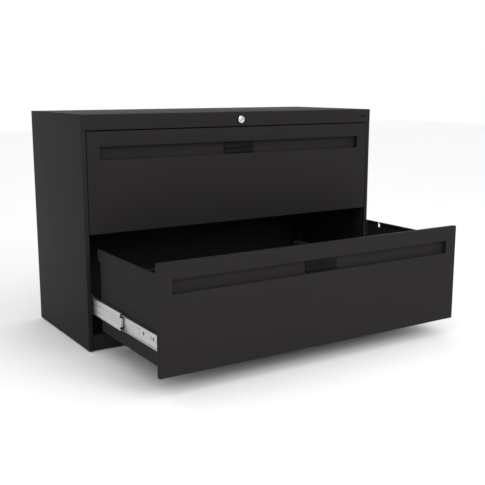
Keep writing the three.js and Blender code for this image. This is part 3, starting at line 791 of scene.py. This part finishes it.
# %% Interlock hooks
for drawer in DRAWERS:
    node = f"{drawer}_drawer_side_right"
    low, high = span(node)
    hook_y, hook_z = low[1] + 27.0, low[2] + 129.5
    blade = [(506.0, hook_z - 11), (512.2, hook_z - 11), (513.7, hook_z - 9), (513.7, hook_z),
             (506.0, hook_z)]
    hook = extruded(f"{node}_hook", blade, (hook_y, hook_y + 3), "y", 0.4)
    dress(hook, paint, node, False)
    tab = extruded(f"{node}_hook_tab", slot_outline(hook_y + 12, hook_z - 5.5, 20, 11, upright=False),
                   (506.2, 507.6), "x", 0.3)
    dress(tab, paint, node, False)

# %% Liners, bottoms and backs
for drawer in DRAWERS:
    node = f"{drawer}_front_liner"
    low, high = span(node)
    path = rounded([(high[1], low[2]), (high[1], high[2]), (low[1], high[2])], fold)
    dress(folded(f"{node}_sheet", path, [low[0], high[0]], "x", sheet), paint, node)

    node = f"{drawer}_drawer_bottom"
    low, high = span(node)
    beads = np.arange(-440, 441, 80.0)
    bead = ((-9, 0), (-6, -1.6), (6, -1.6), (9, 0))
    dips = [(x + dx, low[2] + dz) for x in beads for dx, dz in bead]
    path = rounded([(low[0], high[2]), (low[0], low[2]), *dips, (high[0], low[2]), (high[0], high[2])],
                   [fold, *[2.0] * len(dips), fold], 3)
    dress(folded(f"{node}_sheet", path, [low[1], high[1]], "y", sheet), paint, node)

    node = f"{drawer}_drawer_back"
    low, high = span(node)
    path = rounded([(high[1], low[2]), (high[1], high[2]), (low[1], high[2]), (low[1], high[2] - 5)],
                   fold)
    dress(folded(f"{node}_sheet", path, [low[0], high[0]], "x", sheet), paint, node)
print("beads in a bottom:", len(beads))

# %% Dividers
taper, corner_reach = 28, 9
for drawer in DRAWERS:
    node = f"{drawer}_divider"
    low, high = span(node)
    plane, footing, crest, start = low[0] + 0.5, low[2], high[2], low[1]
    path = rounded([(plane + 2.7, crest - 8), (plane + 2.7, crest), (plane, crest), (plane, crest - 14),
                    (plane, footing + 6), (plane, footing), (high[0], footing)], [0.9, 0.9, 0, 0, 2.0])
    share = np.clip((path[:, 1] - footing) / (crest - footing), 0, 1)
    round_share = np.clip((share - 0.94) / 0.06, 0, 1)  # the top corner is rounded by a quarter ellipse
    run = (high[1] - start) - share * taper - corner_reach * (1 - np.sqrt(1 - round_share ** 2))
    lead = 1.0 * (share > 0.01)
    stations = start + lead[:, None] + (run - lead)[:, None] * np.linspace(0, 1, 9)
    divider = folded(f"{node}_sheet", path, stations, "y", sheet)
    punched(divider, [(start + 60 + 45 * k, footing + 120, 60, 7, True) for k in range(3)], "x",
            (plane - 2, plane + 2))
    dress(divider, paint, node)
    nose_y, nose_z = high[1] - 23, crest - 10
    nose = extruded(f"{node}_nose", slot_outline(nose_y, nose_z, 26, 11, upright=False),
                    (plane, plane + 1), "x", 0.2)
    punched(nose, [(nose_y + 7, nose_z, 6, 6, True)], "x", (plane - 2, plane + 3))
    dress(nose, paint, node, False)
print("divider:", low.round(1), high.round(1))

# %% [markdown]
# ## Slides
# A full-extension slide is three strips rolled into channels that nest: the outer one on the
# uprights, the inner one on the drawer, and the middle one between them, with two cages of balls.
# Each is a path in X and Z run along Y. Slots and holes for screws are punched in the inner strip,
# and the middle one has a long shallow bead and stop notches at its front end.

# %% Members
upright_face, race_radius, outer_half, middle_half, inner_half = 519.5, 2.2, 30, 25.3, 20.6


def slide_points(points, centre):
    """Points of (depth from the upright, height above the centre line) as (x, z)."""
    points = np.asarray(points, float)
    return np.stack([upright_face - points[:, 0], centre + points[:, 1]], axis=-1)


for drawer in DRAWERS:
    for hand, side in HANDS:
        members = {part: f"{drawer}_slide_{part}_{hand}" for part in ("outer", "middle", "inner")}
        centre = sum(span(members["outer"]))[2] / 2
        reach = sorted((side * 500, side * 523))

        low, high = span(members["outer"])
        path = rounded(slide_points([(11.7, -outer_half), (0, -outer_half), (0, -8), (0.5, -6), (0.5, 6),
                                     (0, 8), (0, outer_half), (11.7, outer_half)], centre),
                       [race_radius, 1, 1, 1, 1, race_radius])
        outer_strip = folded(members["outer"] + "_strip", handed(side, path), [low[1], high[1]], "y", heavy)
        dress(outer_strip, zinc, members["outer"])

        low, high = span(members["middle"])
        nose = low[1]
        path = rounded(slide_points([(11.4, -middle_half), (2.6, -middle_half), (2.6, -20), (2.6, -13),
                                     (3.1, -11), (3.1, 11), (2.6, 13), (2.6, 20), (2.6, middle_half),
                                     (11.4, middle_half)], centre),
                       [race_radius, 0, 1, 1, 1, 1, 0, race_radius])

        def kept(x, y, z):
            height = abs(z - centre)
            return ~((y < nose + 8) & (height > 13) & (height < 20) | (y < nose + 4) & (height > 13))

        middle_strip = folded(members["middle"] + "_strip", handed(side, path),
                              [nose, nose + 4, nose + 8, high[1]], "y", heavy, kept)
        holes = [(nose + 16, centre + 6, 2.4, 2.4, True), (nose + 16, centre - 6, 2.4, 2.4, True),
                 (high[1] - 30, centre, 9, 9, True)]
        punched(middle_strip, holes, "x", reach)
        dress(middle_strip, zinc, members["middle"])
        tab = np.array([(509.6, centre - 11), (515.3, centre - 13), (515.3, centre + 13),
                        (509.6, centre + 11)])
        stop = extruded(members["middle"] + "_stop", handed(side, tab), (nose + 0.2, nose + 1.5), "y")
        dress(stop, zinc, members["middle"], False)

        low, high = span(members["inner"])
        path = rounded(slide_points([(5.0, inner_half), (13, inner_half), (13, -inner_half),
                                     (5.0, -inner_half)], centre), race_radius)
        inner_strip = folded(members["inner"] + "_strip", handed(side, path), [low[1], high[1]], "y", heavy)
        nose = low[1]
        slots = [(nose + 9, centre - 3, 5, 3, True), (nose + 36, centre + 1, 10, 6, True),
                 (nose + 50, centre + 1, 8, 3.5, True), (nose + 94, centre + 1, 11, 7, True),
                 (nose + 120.4, centre - 6, 4.6, 4.6, True), (nose + 123, centre + 7, 4.6, 4.6, True),
                 (nose + 230, centre, 12, 5, False), (nose + 330, centre, 12, 5, False)]
        punched(inner_strip, slots, "x", reach)
        dress(inner_strip, zinc, members["inner"])
        heads = [(side * 507.6, nose + y, centre) for y in (72, 205, 300)]
        rivets = domes(members["inner"] + "_rivets", heads, 4.2, 1.5, "x", side)
        dress(rivets, zinc, members["inner"], False)
print("slide strips made, centre", centre)


# %% Cages and balls
def ball_rows(name, x, ys, zs, radius, sides=14, rows=8):
    """Spheres in rows: P = centre + r (sin a cos b, sin a sin b, cos a), repeated at each place."""
    a, b = np.linspace(0, np.pi, rows + 1)[:, None], np.linspace(0, 2 * np.pi, sides, endpoint=False)
    ball = np.stack([np.sin(a) * np.cos(b), np.sin(a) * np.sin(b), np.cos(a) + 0 * b], axis=-1) * radius
    places = [(x, y, z) for y in ys for z in zs]
    return repeated(name, ball, places)


half_gauge, balls_per_row = 0.25, 12
for drawer in DRAWERS:
    for hand, side in HANDS:
        centre = sum(span(f"{drawer}_slide_outer_{hand}"))[2] / 2
        for part, web, race, ball_x, tip in (("outer", 517.8, 27.0, 512.5, 510.5),
                                             ("inner", 515.3, 22.3, 512.0, 510.0)):
            node = f"{drawer}_cage_{part}_{hand}"
            low, high = span(node)
            edge = race + half_gauge
            bent = [(tip, centre - edge), (web, centre - edge), (web, centre + edge), (tip, centre + edge)]
            strip = folded(f"{node}_strip", handed(side, rounded(bent, 1.0)), [low[1], high[1]], "y",
                           2 * half_gauge, edge=0.08)
            dress(strip, zinc, node)
            ys = np.linspace(low[1] + 6, high[1] - 6, balls_per_row)
            balls = ball_rows(f"{node}_balls", side * ball_x, ys, (centre - race, centre + race), 1.5)
            dress(balls, polished, node, False)
print("cages and balls made")

# %% Floor
reach = 12000
corners = [(-reach, -reach, 0), (reach, -reach, 0), (reach, reach, 0), (-reach, reach, 0)]
floor = new_object("floor", corners, [[0, 1, 2, 3]])
paper = Finish("white_sweep", Roughness=0.9)
floor.data.materials.append(paper.surface(paper.mix(paper.noise(2.0), grey(0.93), grey(0.95))))
